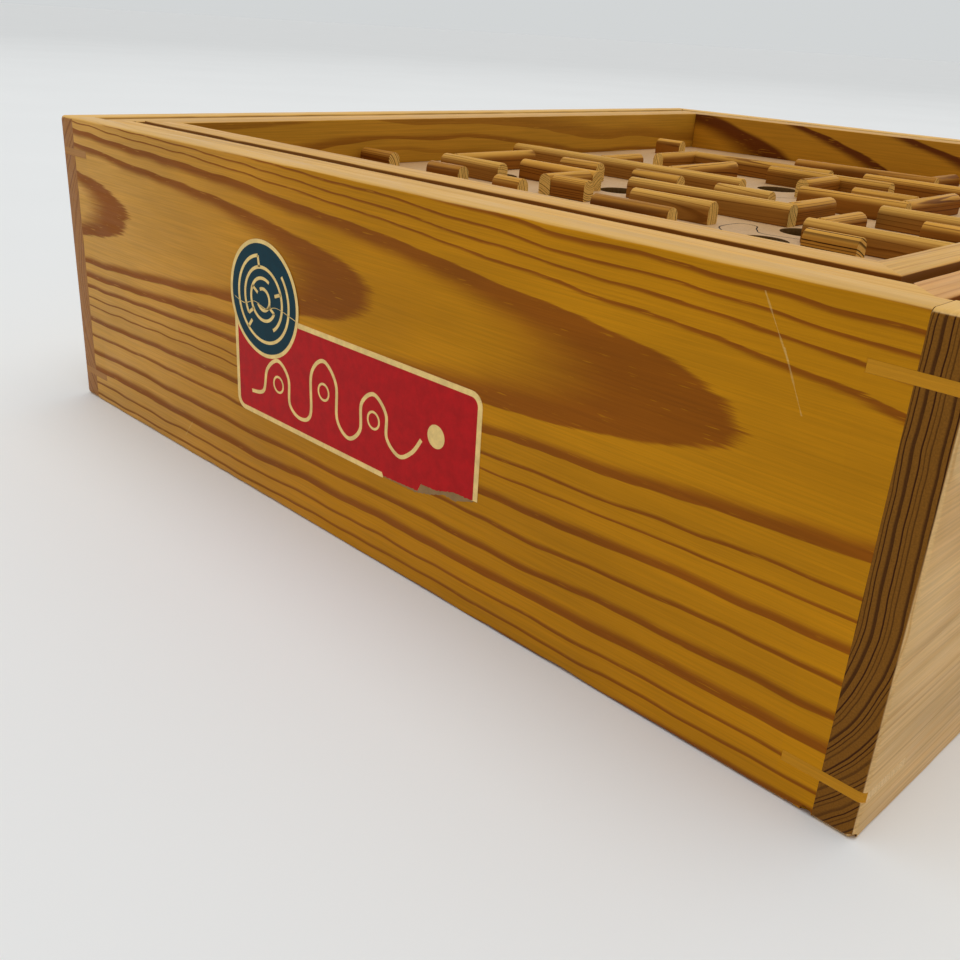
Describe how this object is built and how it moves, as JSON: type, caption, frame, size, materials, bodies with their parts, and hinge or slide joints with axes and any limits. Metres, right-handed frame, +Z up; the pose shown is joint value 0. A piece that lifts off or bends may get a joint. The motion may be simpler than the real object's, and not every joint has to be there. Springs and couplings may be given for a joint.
{
  "type": "tilt maze game",
  "caption": "Wooden box with a maze tray that tips both ways by two side knobs, steering a steel ball past holes into a floor that returns it to a front cup.",
  "frame": {"origin": "centre of the case's flat underside", "axes": "+Z up, +X along the long side to the player's right (the side knob is on +X), -Y towards the player (the front knob is on -Y)"},
  "size_m": [0.3538, 0.31, 0.091],
  "materials": {
    "case_pine": "varnished honey pine with strong dark grain",
    "frame_pine": "satin pale pine",
    "tray_pine": "satin amber pine",
    "maze_board": "printed pale board, satin",
    "strip_beech": "satin golden wood strips",
    "hardboard": "matt brown hardboard",
    "knob_wood": "turned and varnished wood",
    "steel": "bright steel",
    "cord": "twisted cotton cord",
    "label_paper": "printed and worn paper label"
  },
  "bodies": {
    "case": {"front_wall": "case_pine", "back_wall": "case_pine", "left_wall": "case_pine", "right_wall": "case_pine", "bottom_panel": "hardboard", "ball_ramp": "hardboard", "ball_cup": "case_pine", "side_label": "label_paper", "frame_pivot_pin_left": "steel", "frame_pivot_pin_right": "steel"},
    "frame": {"frame_front_rail": "frame_pine", "frame_back_rail": "frame_pine", "frame_left_rail": "frame_pine", "frame_right_rail": "frame_pine", "tray_pivot_pin_front": "steel", "tray_pivot_pin_back": "steel", "frame_front_eye": "steel", "frame_back_eye": "steel", "frame_cord": "cord", "frame_spring": "steel"},
    "tray": {"tray_front_rail": "tray_pine", "tray_back_rail": "tray_pine", "tray_left_rail": "tray_pine", "tray_right_rail": "tray_pine", "maze_board": "maze_board", "tray_left_eye": "steel", "tray_right_eye": "steel", "tray_cord": "cord", "tray_spring": "steel", "strip_spine": "strip_beech", "strip_back_corner": "strip_beech", "strip_right_of_centre": "strip_beech", "strip_centre_corner": "strip_beech", "strip_centre_upper": "strip_beech", "strip_centre_lower": "strip_beech", "strip_left_of_centre": "strip_beech", "strip_left_round": "strip_beech", "strip_upper_short": "strip_beech", "strip_zigzag": "strip_beech", "strip_back_left_corner": "strip_beech", "strip_back_stub": "strip_beech", "strip_left_upper": "strip_beech", "strip_left_middle": "strip_beech", "strip_back_right_stub": "strip_beech", "strip_right_corner": "strip_beech", "strip_right_straight": "strip_beech", "strip_front_fork": "strip_beech", "strip_front_pocket": "strip_beech", "strip_front_left_corner": "strip_beech", "strip_front_stub": "strip_beech", "strip_far_left_back": "strip_beech", "strip_far_left_middle": "strip_beech", "strip_far_left_front": "strip_beech", "strip_front_middle": "strip_beech", "strip_front_right": "strip_beech"},
    "side_drive": {"side_shaft": "steel", "side_knob": "knob_wood"},
    "front_drive": {"front_shaft": "steel", "front_knob": "knob_wood"},
    "ball": {"steel_ball": "steel"}
  },
  "joints": [
    {"name": "frame_tilt", "type": "hinge", "parent": "case", "child": "frame", "pos_m": [0, 0, 0.079], "axis": [1, 0, 0], "range_deg": [-6.5, 6.5], "deforming": ["frame_cord", "frame_spring"]},
    {"name": "tray_tilt", "type": "hinge", "parent": "frame", "child": "tray", "pos_m": [0, 0, 0.079], "axis": [0, 1, 0], "range_deg": [-6.5, 6.5], "deforming": ["tray_cord", "tray_spring"]},
    {"name": "side_knob_turn", "type": "hinge", "parent": "case", "child": "side_drive", "pos_m": [0.15, 0, 0.046], "axis": [1, 0, 0], "range_deg": [-52.5, 52.5]},
    {"name": "front_knob_turn", "type": "hinge", "parent": "case", "child": "front_drive", "pos_m": [0, -0.13, 0.0385], "axis": [0, 1, 0], "range_deg": [-65.5, 65.5]},
    {"name": "ball_roll", "type": "slide", "parent": "case", "child": "ball", "axis": [1, 0, 0], "range_m": [-0.012, 0.012]}
  ],
  "couplings": [
    {"joint": "side_knob_turn", "follows": "frame_tilt", "ratio": -8.03},
    {"joint": "front_knob_turn", "follows": "tray_tilt", "ratio": -10.04}
  ]
}
